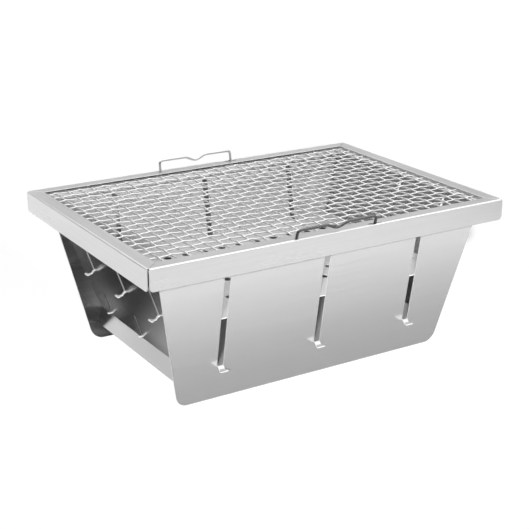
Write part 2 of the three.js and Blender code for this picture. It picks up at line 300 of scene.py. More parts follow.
def makeBrushing():
    group, given = newShaderGroup("brushing", ("Vector", "Streaks", "Clouds"),
                                  ("Height", "Tint", "Roughness"))
    fine = addNoise(group, given["Vector"], **brushed["fineStreaks"])
    broad = addNoise(group, given["Vector"], **brushed["broadStreaks"])
    cloud = addNoise(group, given["Vector"], **brushed["clouds"])
    streaks = calculate(group, "MULTIPLY", calculate(group, "SUBTRACT", broad, 0.5), given["Streaks"])
    clouds = calculate(group, "MULTIPLY", calculate(group, "SUBTRACT", cloud, 0.5), given["Clouds"])
    addNode(group, "NodeGroupOutput", {
        "Height": calculate(group, "ADD", calculate(group, "MULTIPLY", fine, brushed["fineShare"]),
                            calculate(group, "MULTIPLY", broad, 1 - brushed["fineShare"])),
        "Tint": broad,
        "Roughness": calculate(group, "ADD", streaks, clouds),
    })
    return group


def makeScuffing():
    # cut edges are brighter and duller than the faces, in patches
    group, given = newShaderGroup("scuffing", ("Vector", "Edge", "Amount"), ("Scuff",))
    patches = addNoise(group, given["Vector"], **brushed["scuffPatches"])
    uneven = calculate(group, "ADD", calculate(group, "MULTIPLY", patches, brushed["scuffSpread"]),
                       brushed["scuffLeast"])
    scuff = calculate(group, "MULTIPLY", calculate(group, "MULTIPLY", uneven, given["Edge"]),
                      given["Amount"])
    scuff.node.use_clamp = True
    addNode(group, "NodeGroupOutput", {"Scuff": scuff})
    return group


brushing = makeBrushing()
scuffing = makeScuffing()

# One finish for each slot: streaks and clouds change the roughness, scuff is the wear of the cut edges
steelFinishes = {
    "rim_steel": {"grey": 0.68, "metal": 0.97, "roughness": 0.3, "streaks": 0.12, "clouds": 0.1,
                  "bump": 0.035, "scuff": 0.5},
    "retainer_steel": {"grey": 0.78, "metal": 0.75, "roughness": 0.45, "streaks": 0.12, "clouds": 0.1,
                       "bump": 0.05, "scuff": 0.5},
    "net_wire": {"grey": 0.66, "metal": 0.9, "roughness": 0.3, "streaks": 0.05, "clouds": 0.08,
                 "bump": 0.02, "scuff": 0},
    "bail_wire": {"grey": 0.6, "metal": 1, "roughness": 0.2, "streaks": 0.04, "clouds": 0.05,
                  "bump": 0.01, "scuff": 0},
    "panel_steel": {"grey": 0.66, "metal": 1, "roughness": 0.22, "streaks": 0.12, "clouds": 0.1,
                    "bump": 0.035, "scuff": 0.5},
    "plate_steel": {"grey": 0.62, "metal": 0.7, "roughness": 0.42, "streaks": 0.12, "clouds": 0.1,
                    "bump": 0.035, "scuff": 0.8},
}

# What differs from the slot's finish: turn is the angle of the brushing about Z, and fired is the mark of
# the fire, with its half length at the ground
changedFinishes = {
    "rim_steel_across": ("rim_steel", {"turn": quarterTurn}),
    "retainer_steel_across": ("retainer_steel", {"turn": quarterTurn}),
    "panel_steel_across": ("panel_steel", {"turn": quarterTurn, "scuff": 0.1}),
    # painted shade: the right end panel gets a darker copy of the end panels' steel
    "panel_steel_dark": ("panel_steel", {"turn": quarterTurn, "scuff": 0.1, "grey": 0.42}),
    "panel_steel_front": ("panel_steel", {"metal": 0.82}),
    "panel_steel_back": ("panel_steel", {"fired": {"amount": 0.25, "halfLength": 0.133, "fade": 0.004}}),
    # painted shade: the front bail gets a darker copy of the bail wire
    "bail_wire_dark": ("bail_wire", {"grey": 0.14}),
}

# The pieces that have a changed finish
pieceFinishes = {
    "rim_rail_left": "rim_steel_across",
    "rim_rail_right": "rim_steel_across",
    "net_clamp_left": "retainer_steel_across",
    "net_clamp_right": "retainer_steel_across",
    "left_wall": "panel_steel_across",
    # painted shade: the right end panel's darker steel
    "right_wall": "panel_steel_dark",
    "front_wall": "panel_steel_front",
    "back_wall": "panel_steel_back",
    # painted shade: the front bail's darker wire
    "front_handle": "bail_wire_dark",
}


def greyColor(value):
    return value, value, value, 1


def makeFireMark(tree, vector, values):
    # the fire dulls a long panel between the leaning end panels, not past them
    place = axesOf(tree, vector)
    reach = calculate(tree, "SUBTRACT", calculate(tree, "ABSOLUTE", place["X"]),
                      calculate(tree, "MULTIPLY", place["Z"], math.tan(endLean)))
    halfLength = values["halfLength"]
    return graded(tree, reach, halfLength - values["fade"], halfLength, values["amount"], 0)


def makeSteel(name, finish):
    material = bpy.data.materials.new(name)
    material.use_nodes = True
    tree = material.node_tree
    place = addNode(tree, "ShaderNodeTexCoord").outputs["Object"]
    turned = addNode(tree, "ShaderNodeMapping", {
        "Vector": place, "Rotation": (0, 0, finish.get("turn", 0)),
    }).outputs["Vector"]
    grain = addNode(tree, "ShaderNodeGroup", {
        "Vector": turned, "Streaks": finish["streaks"], "Clouds": finish["clouds"],
    }, node_tree=brushing).outputs
    edge = addNode(tree, "ShaderNodeAttribute", attribute_name="cutEdge")
    scuff = addNode(tree, "ShaderNodeGroup", {
        "Vector": turned, "Edge": edge.outputs["Fac"], "Amount": finish["scuff"],
    }, node_tree=scuffing).outputs["Scuff"]
    dull = calculate(tree, "ADD", calculate(tree, "MULTIPLY", scuff, brushed["scuffRoughness"]),
                     finish["roughness"])
    shine = calculate(tree, "SUBTRACT", finish["metal"],
                      calculate(tree, "MULTIPLY", scuff, brushed["scuffDulling"]))
    if "fired" in finish:
        shine = calculate(tree, "SUBTRACT", shine, makeFireMark(tree, place, finish["fired"]))
    tint = addNode(tree, "ShaderNodeMix", {
        "Factor": grain["Tint"],
        "A": greyColor((1 - brushed["contrast"]) * finish["grey"]),
        "B": greyColor((1 + brushed["contrast"]) * finish["grey"]),
    }, data_type="RGBA")
    bare = addNode(tree, "ShaderNodeMix", {
        "Factor": scuff, "A": tint.outputs["Result"], "B": greyColor(brushed["scuffGrey"]),
    }, data_type="RGBA")
    bump = addNode(tree, "ShaderNodeBump", {
        "Height": grain["Height"], "Strength": finish["bump"], "Distance": brushed["depth"],
    })
    shader = tree.nodes["Principled BSDF"].inputs
    tree.links.new(calculate(tree, "ADD", grain["Roughness"], dull), shader["Roughness"])
    tree.links.new(shine, shader["Metallic"])
    tree.links.new(bare.outputs["Result"], shader["Base Color"])
    tree.links.new(bump.outputs["Normal"], shader["Normal"])
    return material


finishes = {name: makeSteel(name, finish) for name, finish in steelFinishes.items()}
for name, (slot, changes) in changedFinishes.items():
    finishes[name] = makeSteel(name, {**steelFinishes[slot], **changes})
print("steel finishes made")


# Rim rails and net retainers: an angle with a rolled edge, its outer face on y = 0 and its top on z = 0

rim = {
    "thickness": 0.0008,
    "bendRadius": 0.002,
    "bendSteps": 8,
    "skirtCorner": 0.0045,
    "edge": 0.00012,
    "seamNotch": 0.0012,  # relief in the middle of the bend, where two rails meet
    "seamGap": 0.0008,
    "seamFacing": 0.3,
    "bailSpan": 0.093,
    "bailInset": 0.004,
    "bailHole": 0.004,
    "bailSlot": 0.0167,
    "bailShift": -0.003,  # the bails sit a little to the side of the middle
    "holeSteps": 10,
    "holeRoundness": 0.999,  # just under 1, so that the round ends of a hole stay apart
    "inset": 0.000001,  # keeps the skirts inside the outline of the solids
}


def angleBend(radius, thickness, mitre):
    # the blank's y runs inwards over the ledge from the bend's start at 0, and below 0 round the bend
    middle = radius - thickness / 2
    arc = middle * quarterTurn

    def bend(point):
        x, y, z = point
        if y >= 0:
            return Vector((x, radius + y, z - thickness / 2))
        turn = min(quarterTurn, -y / middle)
        across = radius - (middle + z) * math.sin(turn)
        down = (middle + z) * math.cos(turn) - radius + min(0, y + arc)
        shear = (across - radius + middle * math.sin(turn)) * mitre
        return Vector((x - math.copysign(shear, x), across, down))

    return bend, arc


def bendScores(radius, thickness, steps):
    middle = radius - thickness / 2
    arc = middle * quarterTurn
    return [bendMargin] + [-arc * step / steps for step in range(steps + 1)] + [-arc - bendMargin]


def mitredRail(name, node, slot, values, size, mitre, angle, offset, holes=()):
    length, ledge, skirt = size
    radius, thickness = values["bendRadius"], values["thickness"]
    bend, arc = angleBend(radius, thickness, mitre)
    middle = radius - thickness / 2
    foot = radius - arc - skirt
    half = length / 2
    skirtEnd = half - values["seamGap"]
    side = [(skirtEnd, foot, values["skirtCorner"]), (skirtEnd, -arc - values["seamNotch"], 0)]
    for step in range(values["bendSteps"], -1, -1):
        turn = quarterTurn * step / values["bendSteps"]
        across = radius - middle * math.sin(turn)
        side.append((half - across * mitre - values["seamNotch"] * math.sin(2 * turn), -turn * middle, 0))
    side.append((half - ledge * mitre, ledge - radius, 0))
    scores = bendScores(radius, thickness, values["bendSteps"])
    blank = sheetBlank(roundCorners(mirroredX(side)), holes, thickness, values["edge"], scoreY=scores)
    blank.normal_update()
    cutEdge = blank.faces.layers.float["cutEdge"]
    for face in blank.faces:
        # the seams and the holes look dark, not bright
        atSeam = abs(face.normal.x) > values["seamFacing"]
        atHole = 0 < face.calc_center_median().y < ledge / 2
        if atSeam or atHole:
            face[cutEdge] = 0
    place = Matrix.Rotation(angle, 4, "Z") @ Matrix.Translation(offset)
    finishSheet(name, blank, bend, place, "net_frame", node, slot)


def buildRim():
    low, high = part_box("rim_front")
    endLow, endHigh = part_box("rim_left")
    skirt = high.z - low.z
    ledge = high.y - low.y
    endLedge = endHigh.x - endLow.x
    row = rim["bailInset"] - rim["bendRadius"]
    halfHole = rim["bailHole"] / 2
    endRadius = halfHole * rim["holeRoundness"]
    for node, side, angle in (("rim_front", 1, 0), ("rim_back", -1, 2 * quarterTurn)):
        holes = []
        for leg, halfWidth in ((-1, halfHole), (1, rim["bailSlot"] / 2)):
            middle = side * (rim["bailShift"] + leg * rim["bailSpan"] / 2)
            hole = slotCorners(middle, row, halfWidth, halfHole, endRadius)
            holes.append(roundCorners(hole, rim["holeSteps"]))
        mitredRail(node.replace("rim", "rim_rail"), node, "rim_steel", rim, (high.x - low.x, ledge, skirt),
                   endLedge / ledge, angle, Vector((0, low.y + rim["inset"], high.z)), holes)
    for node, angle in (("rim_left", -quarterTurn), ("rim_right", quarterTurn)):
        mitredRail(node.replace("rim", "rim_rail"), node, "rim_steel", rim,
                   (endHigh.y - endLow.y, endLedge, skirt), ledge / endLedge, angle,
                   Vector((0, endLow.x + rim["inset"], high.z)))


buildRim()
print("rim rails bent")

retainer = {
    "thickness": 0.0008,
    "bendRadius": 0.0012,
    "bendSteps": 4,
    "skirtCorner": 0.001,
    "edge": 0.0001,
    "seamNotch": 0,
    "seamGap": 0,
    "seamFacing": 0.3,
}


def buildRetainers():
    for node, angle in (("net_retainer_front", 0), ("net_retainer_back", 2 * quarterTurn),
                        ("net_retainer_left", -quarterTurn), ("net_retainer_right", quarterTurn)):
        low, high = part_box(node)
        along, across = ("x", "y") if angle in (0, 2 * quarterTurn) else ("y", "x")
        length, flange = (getattr(high, axis) - getattr(low, axis) for axis in (along, across))
        face = min(abs(getattr(low, across)), abs(getattr(high, across)))
        mitredRail(node.replace("retainer", "clamp"), node, "retainer_steel", retainer,
                   (length, flange, high.z - low.z), 0, angle + 2 * quarterTurn, Vector((0, face, high.z)))


buildRetainers()
print("net retainers bent")


# Long panels: flat leaning sheets with three slots open at the top

def slottedOutline(values, halfFoot, foot, halfTop, top, slotFoot):
    halfSlot = values["slotWidth"] / 2
    right = [(halfFoot, foot, values["footCorner"]), (halfTop, top, values["topCorner"])]
    for step in (1, 0, -1):
        middle = step * values["slotPitch"]
        right += [(middle + halfSlot, top, 0), (middle + halfSlot, slotFoot, values["slotCorner"]),
                  (middle - halfSlot, slotFoot, values["slotCorner"]), (middle - halfSlot, top, 0)]
    left = [(-halfTop, top, values["topCorner"]), (-halfFoot, foot, values["footCorner"])]
    return roundCorners(right + left, values["cornerSteps"])


longPanel = {
    "thickness": 0.001,
    "edge": 0.00013,
    "lean": math.radians(10.07),
    "flare": math.radians(11.5),
    "footCorner": 0.015,
    "topCorner": 0.0015,
    "slotWidth": 0.007,
    "slotPitch": 0.115,
    "slotFoot": 0.0372,
    "slotCorner": 0.0008,
    "cornerSteps": 10,
}


def leaningFace(values, topFace, top):
    # the blank's y runs up the slope from the ground, and z points outwards
    lean, thickness = values["lean"], values["thickness"]
    footFace = topFace - math.tan(lean) * top

    def place(point):
        x, y, z = point
        out = z - thickness / 2
        return Vector((x, -footFace - y * math.sin(lean) - out * math.cos(lean),
                       y * math.cos(lean) - out * math.sin(lean)))

    return place


def buildLongPanels():
    values = longPanel
    low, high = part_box("front_panel")
    slope = math.cos(values["lean"])
    top = (high.z - values["thickness"] * math.sin(values["lean"])) / slope
    halfTop = high.x
    halfFoot = halfTop - math.tan(values["flare"]) * high.z
    outline = slottedOutline(values, halfFoot, 0, halfTop, top, values["slotFoot"] / slope)
    for node, angle in (("front_panel", 0), ("back_panel", 2 * quarterTurn)):
        blank = sheetBlank(outline, [], values["thickness"], values["edge"])
        finishSheet(node.replace("panel", "wall"), blank, leaningFace(values, -low.y, high.z),
                    Matrix.Rotation(angle, 4, "Z"), "firebox", node, "panel_steel")


buildLongPanels()
print("long panels cut")


# End panels: leaning outwards, folded out at the foot, slotted for both plates

endPanel = {
    "thickness": 0.001,
    "edge": 0.00013,
    "lean": endLean,
    "foldHeight": 0.0345,
    "foldRadius": 0.0018,
    "foldSteps": 6,
    "flangeFlare": 0.0078,
    "footCorner": 0.008,
    "topCorner": 0.0015,
    "slotWidth": 0.0036,
    "slotPitch": 0.0765,
    "highSlotFoot": 0.09,
    "lowSlotFoot": 0.0372,
    "lowSlotTop": 0.0625,
    "slotCorner": 0.0006,
    "cornerSteps": 8,
    "slotSteps": 4,
}


def foldedFace(values, topFace, top, foot):
    # the blank's y runs up the slope from the fold line, and z points outwards
    lean, thickness, radius = values["lean"], values["thickness"], values["foldRadius"]
    foldFace = topFace - math.tan(lean) * (top - values["foldHeight"])
    flangeTurn = lean + math.atan2(values["flangeFlare"], values["foldHeight"] - foot)
    reach = radius * math.tan(flangeTurn / 2)

    def place(point):
        x, y, z = point
        out = z - thickness / 2
        if y >= reach:
            along, away = y, out
        else:
            turn = min(flangeTurn, (reach - y) / radius)
            rest = max(0, reach - y - flangeTurn * radius)
            along = reach - (radius - z) * math.sin(turn) - rest * math.cos(turn)
            away = radius - thickness / 2 - (radius - z) * math.cos(turn) + rest * math.sin(turn)
        return Vector((x, -foldFace - along * math.sin(lean) - away * math.cos(lean),
                       values["foldHeight"] + along * math.cos(lean) - away * math.sin(lean)))

    scores = [reach + bendMargin, reach - flangeTurn * radius - bendMargin]
    steps = values["foldSteps"]
    scores += [reach - flangeTurn * radius * step / steps for step in range(steps + 1)]
    flange = (values["foldHeight"] - foot) / math.cos(flangeTurn - lean)
    return place, scores, 2 * reach - flangeTurn * radius - flange


def buildEndPanels():
    values = endPanel
    low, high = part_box("left_panel")
    slope = math.cos(values["lean"])
    place, scores, foot = foldedFace(values, -low.x, high.z, low.z)

    def upSlope(height):
        return (height - values["foldHeight"]) / slope

    top = upSlope(high.z - values["thickness"] * math.sin(values["lean"]))
    halfTop = high.y
    halfFoot = halfTop - math.tan(longPanel["lean"]) * (high.z - low.z)
    outline = slottedOutline(values, halfFoot, foot, halfTop, top, upSlope(values["highSlotFoot"]))
    lowFoot, lowTop = upSlope(values["lowSlotFoot"]), upSlope(values["lowSlotTop"])
    holes = [
        roundCorners(slotCorners(step * values["slotPitch"], (lowFoot + lowTop) / 2,
                                 values["slotWidth"] / 2, (lowTop - lowFoot) / 2, values["slotCorner"]),
                     values["slotSteps"])
        for step in (-1, 0, 1)
    ]
    for node, angle in (("left_panel", -quarterTurn), ("right_panel", quarterTurn)):
        blank = sheetBlank(outline, holes, values["thickness"], values["edge"], scoreY=scores)
        finishSheet(node.replace("panel", "wall"), blank, place, Matrix.Rotation(angle, 4, "Z"),
                    "firebox", node, "panel_steel")


buildEndPanels()
print("end panels folded")


# Plates: a flat blank whose hooked tabs step down outside the panels

plate = {
    "thickness": 0.001,
    "edge": 0.00013,
    "corner": 0.005,
    "tabFlat": 0.0025,
    "tabRamp": 0.003,
    "tabJoggle": 0.003,
    "headLength": 0.003,
    "headCorner": 0.0008,
    "rampSteps": 8,
}
ashPlate = {
    "hookNeck": 0.0064,
    "hookHead": 0.0094,
    "hookReach": 0.01101,
    "hookPitch": 0.115,
    "stubNeck": 0.003,
    "stubReach": 0.00656,
    "stubCorner": 0.0005,
    "stubPitch": 0.0765,
}
charcoalPlate = {
    "hookNeck": 0.003,
    "hookHead": 0.008,
    "hookReach": 0.01186,
    "hookPitch": 0.0765,
    "ventPitch": 0.023,
    "ventHole": 0.0095,
    "ventColumns": 14,
    "ventRows": 7,
    "ventSides": 24,
}


def hookCorners(edge, place, values):
    # going anticlockwise along the right-hand edge, from low y to high y
    halfNeck, halfHead = values["hookNeck"] / 2, values["hookHead"] / 2
    tip = edge + values["hookReach"]
    shoulder = tip - plate["headLength"]
    radius = plate["headCorner"]
    return [
        (edge, place - halfNeck, 0), (shoulder, place - halfNeck, 0),
        (shoulder, place - halfHead, radius), (tip, place - halfHead, radius),
        (tip, place + halfHead, radius), (shoulder, place + halfHead, radius),
        (shoulder, place + halfNeck, 0), (edge, place + halfNeck, 0),
    ]


def stubCorners(edge, place, values):
    tip = edge + values["stubReach"]
    halfNeck = values["stubNeck"] / 2
    return [(edge, place - halfNeck, 0), (tip, place - halfNeck, values["stubCorner"]),
            (tip, place + halfNeck, values["stubCorner"]), (edge, place + halfNeck, 0)]


def quarterTurned(corners, turns):
    for _ in range(turns):
        corners = [(-y, x, radius) for x, y, radius in corners]
    return corners


def plateOutline(halfX, halfY, endTabs, sideTabs):
    corners = []
    for turns in range(4):
        reachX, reachY, tabs = (halfX, halfY, endTabs) if turns % 2 == 0 else (halfY, halfX, sideTabs)
        side = [(reachX, -reachY, plate["corner"])]
        for tab in tabs:
            side += tab
        corners += quarterTurned(side, turns)
    return roundCorners(corners)


def joggle(halfX, halfY, height, alongX):
    flat, ramp, depth = plate["tabFlat"], plate["tabRamp"], plate["tabJoggle"]
    edge = halfX if alongX else halfY

    def bend(point):
        past = abs(point.x if alongX else point.y) - edge - flat
        share = min(1, max(0, past / ramp))
        drop = depth * share * share * (3 - 2 * share)
        return Vector((point.x, point.y, height + plate["thickness"] / 2 + point.z - drop))

    steps = plate["rampSteps"]
    places = [edge + flat + ramp * step / steps for step in range(steps + 1)]
    return bend, places + [-place for place in places]


def buildAshPlate():
    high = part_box("ash_plate")[1]
    values = ashPlate
    halfX = high.x - values["stubReach"]
    halfY = high.y - values["hookReach"]
    stubs = [stubCorners(halfX, step * values["stubPitch"], values) for step in (-1, 0, 1)]
    hooks = [hookCorners(halfY, step * values["hookPitch"], values) for step in (-1, 0, 1)]
    bend, scores = joggle(halfX, halfY, high.z - plate["thickness"], alongX=False)
    outline = plateOutline(halfX, halfY, stubs, hooks)
    blank = sheetBlank(outline, [], plate["thickness"], plate["edge"], scoreY=scores)
    finishSheet("ash_tray", blank, bend, Matrix(), "ash_plate", "ash_plate", "plate_steel")


def makePunch(radius, thickness, edge, sides):
    # a punch with a flared neck at each face, so that it also breaks the edges of the hole it makes
    profile = [(radius, thickness / 2 - edge), (radius + 2 * edge, thickness / 2 + edge)]
    profile = [(r, -z) for r, z in reversed(profile)] + profile
    spokes = [(math.cos(2 * math.pi * k / sides), math.sin(2 * math.pi * k / sides)) for k in range(sides)]
    punch = bmesh.new()
    cutEdge = punch.faces.layers.float.new("cutEdge")
    rings = [[punch.verts.new((r * x, r * y, z)) for x, y in spokes] for r, z in profile]
    for lower, upper in zip(rings, rings[1:]):
        for k in range(sides):
            side = punch.faces.new((lower[k - 1], lower[k], upper[k], upper[k - 1]))
            side[cutEdge] = 1
    punch.faces.new(list(reversed(rings[0])))
    punch.faces.new(rings[-1])
    mesh = bpy.data.meshes.new("vent_punch")
    punch.to_mesh(mesh)
    punch.free()
    return bpy.data.objects.new("vent_punch", mesh)


def makePunching():
    tree, start = newTree("punching", [
        ("Geometry", "Geometry"), ("Punch", "Object"), ("Pitch", "Float"),
        ("Columns", "Int"), ("Rows", "Int"), ("Material", "Material"),
    ])
    sizes = {}
    for axis, count in (("X", "Columns"), ("Y", "Rows")):
        gaps = calculate(tree, "SUBTRACT", start.outputs[count], 1)
        sizes["Size " + axis] = calculate(tree, "MULTIPLY", gaps, start.outputs["Pitch"])
        sizes["Vertices " + axis] = start.outputs[count]
    grid = addNode(tree, "GeometryNodeMeshGrid", sizes)
    punch = addNode(tree, "GeometryNodeObjectInfo", {"Object": start.outputs["Punch"]})
    copies = addNode(tree, "GeometryNodeInstanceOnPoints", {
        "Points": grid.outputs["Mesh"], "Instance": punch.outputs["Geometry"],
    })
    real = addNode(tree, "GeometryNodeRealizeInstances", {"Geometry": copies.outputs["Instances"]})
    cut = addNode(tree, "GeometryNodeMeshBoolean", {
        "Mesh 1": start.outputs["Geometry"], "Mesh 2": real.outputs["Geometry"],
    }, operation="DIFFERENCE")
    return closeTree(tree, start, cut.outputs["Mesh"])


def buildCharcoalPlate():
    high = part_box("charcoal_plate")[1]
    values = charcoalPlate
    halfX = high.x - values["hookReach"]
    halfY = high.y
    hooks = [hookCorners(halfX, step * values["hookPitch"], values) for step in (-1, 0, 1)]
    bend, scores = joggle(halfX, halfY, high.z - plate["thickness"], alongX=True)
    outline = plateOutline(halfX, halfY, hooks, [])
    blank = sheetBlank(outline, [], plate["thickness"], plate["edge"], scoreX=scores)
    bmesh.ops.recalc_face_normals(blank, faces=blank.faces[:])
    flat = bpy.data.meshes.new("charcoal_blank")
    blank.to_mesh(flat)
    blank.free()
    punch = makePunch(values["ventHole"] / 2, plate["thickness"], plate["edge"], values["ventSides"])
    punched = runTree(makePunching(), flat, {
        "Punch": punch, "Pitch": values["ventPitch"], "Columns": values["ventColumns"],
        "Rows": values["ventRows"], "Material": finishes["plate_steel"],
    })
    shape = bmesh.new()
    shape.from_mesh(punched)
    finishSheet("charcoal_tray", shape, bend, Matrix(), "charcoal_plate", "charcoal_plate", "plate_steel")


buildAshPlate()
buildCharcoalPlate()
print("plates cut")


# Woven net: crimped wires over and under each other, ending under the ledges

net = {
    "wire": 0.0017,
    "crimp": 0.00085,
    "sharpness": 5,
    "sag": 0.0013,
    "pitchX": 0.01412,
    "pitchY": 0.01427,
    "offsetX": -0.0003,
    "offsetY": -0.0018,
    "columns": 29,
    "rows": 19,
    "stepsPerPitch": 8,
    "sides": 8,
}


def crimpedWires(tree, start, along, across, sign):
    # straight wires along one axis, one for each line across, lifted and lowered at every crossing
    reach, pitch = start.outputs["Half " + along], start.outputs["Pitch " + across]
    ends = {}
    for label, side in (("Start", -1), ("End", 1)):
        end = calculate(tree, "SUBTRACT", calculate(tree, "MULTIPLY", reach, side),
                        start.outputs["Offset " + along])
        ends[label] = vectorFrom(tree, {along: end})
    line = addNode(tree, "GeometryNodeCurvePrimitiveLine", ends)
    length = calculate(tree, "MULTIPLY", reach, 2)
    pitches = calculate(tree, "DIVIDE", length, start.outputs["Pitch " + along])
    steps = calculate(tree, "CEIL", calculate(tree, "MULTIPLY", pitches, start.outputs["Steps"]))
    fine = addNode(tree, "GeometryNodeResampleCurve", {
        "Curve": line.outputs["Curve"], "Count": calculate(tree, "ADD", steps, 1),
    })
    count = start.outputs["Wires Across " + across]
    half = calculate(tree, "MULTIPLY", calculate(tree, "SUBTRACT", count, 1), -0.5)
    row = addNode(tree, "GeometryNodeMeshLine", {
        "Count": count,
        "Start Location": vectorFrom(tree, {across: calculate(tree, "MULTIPLY", half, pitch)}),
        "Offset": vectorFrom(tree, {across: pitch}),
    })
    copies = addNode(tree, "GeometryNodeInstanceOnPoints", {
        "Points": row.outputs["Mesh"], "Instance": fine.outputs["Curve"],
    })
    real = addNode(tree, "GeometryNodeRealizeInstances", {"Geometry": copies.outputs["Instances"]})
    place = axesOf(tree, addNode(tree, "GeometryNodeInputPosition").outputs["Position"])
    turns = [calculate(tree, "DIVIDE", place[axis], start.outputs["Pitch " + axis]) for axis in ("X", "Y")]
    waves = [calculate(tree, "COSINE", calculate(tree, "MULTIPLY", turn, math.pi)) for turn in turns]
    # the crimps are short and sharp at the crossings, and the wire is nearly straight between them
    wave = calculate(tree, "MULTIPLY", *waves)
    crest = calculate(tree, "MULTIPLY", calculate(tree, "SIGN", wave), calculate(
        tree, "POWER", calculate(tree, "ABSOLUTE", wave), start.outputs["Sharpness"]))
    lift = calculate(tree, "MULTIPLY", crest, calculate(tree, "MULTIPLY", start.outputs["Crimp"], sign))
    raised = vectorFrom(tree, {"X": start.outputs["Offset X"], "Y": start.outputs["Offset Y"], "Z": lift})
    return addNode(tree, "GeometryNodeSetPosition", {
        "Geometry": real.outputs["Geometry"], "Offset": raised,
    }).outputs["Geometry"]


def sagging(tree, start, geometry):
    # the middle hangs a little lower than the clamped edges
    place = axesOf(tree, addNode(tree, "GeometryNodeInputPosition").outputs["Position"])
    arches = []
    for axis in ("X", "Y"):
        share = calculate(tree, "DIVIDE", place[axis], start.outputs["Half " + axis])
        arches.append(calculate(tree, "SUBTRACT", 1, calculate(tree, "MULTIPLY", share, share)))
    drop = calculate(tree, "MULTIPLY", calculate(tree, "MULTIPLY", *arches), start.outputs["Sag"])
    return addNode(tree, "GeometryNodeSetPosition", {
        "Geometry": geometry, "Offset": vectorFrom(tree, {"Z": calculate(tree, "MULTIPLY", drop, -1)}),
    }).outputs["Geometry"]


def makeWeaving():
    tree, start = newTree("weaving", [
        ("Half X", "Float"), ("Half Y", "Float"), ("Pitch X", "Float"), ("Pitch Y", "Float"),
        ("Offset X", "Float"), ("Offset Y", "Float"), ("Wires Across X", "Int"), ("Wires Across Y", "Int"),
        ("Crimp", "Float"), ("Sharpness", "Float"), ("Sag", "Float"), ("Wire Radius", "Float"),
        ("Steps", "Float"), ("Sides", "Int"), ("Material", "Material"),
    ])
    both = addNode(tree, "GeometryNodeJoinGeometry")
    for along, across, sign in (("X", "Y", 1), ("Y", "X", -1)):
        tree.links.new(crimpedWires(tree, start, along, across, sign), both.inputs["Geometry"])
    hanging = sagging(tree, start, both.outputs["Geometry"])
    return closeTree(tree, start, roundWire(tree, start, hanging))


def buildNet():
    low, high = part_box("grill_net")
    woven = runTree(makeWeaving(), bpy.data.meshes.new("net_seed"), {
        "Half X": high.x, "Half Y": high.y, "Pitch X": net["pitchX"], "Pitch Y": net["pitchY"],
        "Offset X": net["offsetX"], "Offset Y": net["offsetY"], "Wires Across X": net["columns"],
        "Wires Across Y": net["rows"], "Crimp": net["crimp"], "Sharpness": float(net["sharpness"]),
        "Sag": net["sag"], "Wire Radius": net["wire"] / 2, "Steps": float(net["stepsPerPitch"]),
        "Sides": net["sides"], "Material": finishes["net_wire"],
    })
    shape = bmesh.new()
    shape.from_mesh(woven)
    bmesh.ops.translate(shape, verts=shape.verts[:], vec=(0, 0, (low.z + high.z) / 2))
    finishMesh("woven_net", shape, "net_frame", "grill_net", "net_wire", wireSharpAngle)


buildNet()
print("net woven")


# Wire bails: one bent wire each, leaning a little outwards

bail = {
    "wire": 0.003,
    "sides": 16,
    "span": 0.093,
    "rise": 0.026,
    "foot": 0.012,
    "bendRadius": 0.004,
    "dip": 0.0046,
    "dipWidth": 0.03,
    "bendSteps": 8,
    "dipSteps": 12,
    "leans": {"front_bail": math.radians(15), "back_bail": math.radians(6)},
}


def bailPath(values):
    # half the wire, from its foot up the leg and along the crossbar (y = 0) to the dip, and then mirrored
    leg, foot, radius = values["span"] / 2, -values["rise"], values["bendRadius"]
    corners = [(leg + values["foot"], foot, 0), (leg, foot, radius), (leg, 0, radius), (0, 0, 0)]
    bends = roundCorners(corners, values["bendSteps"])[:-1]
    half = values["dipWidth"] / 2
    dip = [
        Vector((half - half * k / values["dipSteps"],
                -values["dip"] * (1 - math.cos(math.pi * k / values["dipSteps"])) / 2))
        for k in range(values["dipSteps"] + 1)
    ]
    side = bends + dip
    return side + [Vector((-p.x, p.y)) for p in reversed(side[:-1])]


def makeDrawing():
    tree, start = newTree("wire drawing", [
        ("Geometry", "Geometry"), ("Wire Radius", "Float"), ("Sides", "Int"), ("Material", "Material"),
    ])
    line = addNode(tree, "GeometryNodeMeshToCurve", {"Mesh": start.outputs["Geometry"]})
    return closeTree(tree, start, roundWire(tree, start, line.outputs["Curve"]))


def buildBails():
    tree = makeDrawing()
    points = bailPath(bail)
    for node, lean in bail["leans"].items():
        low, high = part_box(node)
        front = node == "front_bail"
        crossbar = -low.y if front else high.y
        shift = rim["bailShift"] if front else -rim["bailShift"]
        offset = Vector((shift, bail["wire"] / 2 - crossbar, high.z - bail["wire"] / 2))
        facing = Matrix.Rotation(0 if front else 2 * quarterTurn, 4, "Z")
        place = facing @ Matrix.Translation(offset) @ Matrix.Rotation(lean, 4, "X")
        path = bpy.data.meshes.new(node + "_path")
        path.from_pydata([place @ Vector((p.x, 0, p.y)) for p in points],
                         [(k, k + 1) for k in range(len(points) - 1)], [])
        drawn = runTree(tree, path, {"Wire Radius": bail["wire"] / 2, "Sides": bail["sides"],
                                     "Material": finishes["bail_wire"]})
        shape = bmesh.new()
        shape.from_mesh(drawn)
        finishMesh(node.replace("bail", "handle"), shape, node, node, "bail_wire", wireSharpAngle)


buildBails()
print("bails bent")


# Studio: a pale floor lit from beside the camera, so that shadows fall behind the grill, under a graded
# white surround with unlit sides. Glowing cards on the floor, which only reflections see, grade what the
# front and the ends mirror. A black flag behind the grill, which only light meets, makes its shadow longer.

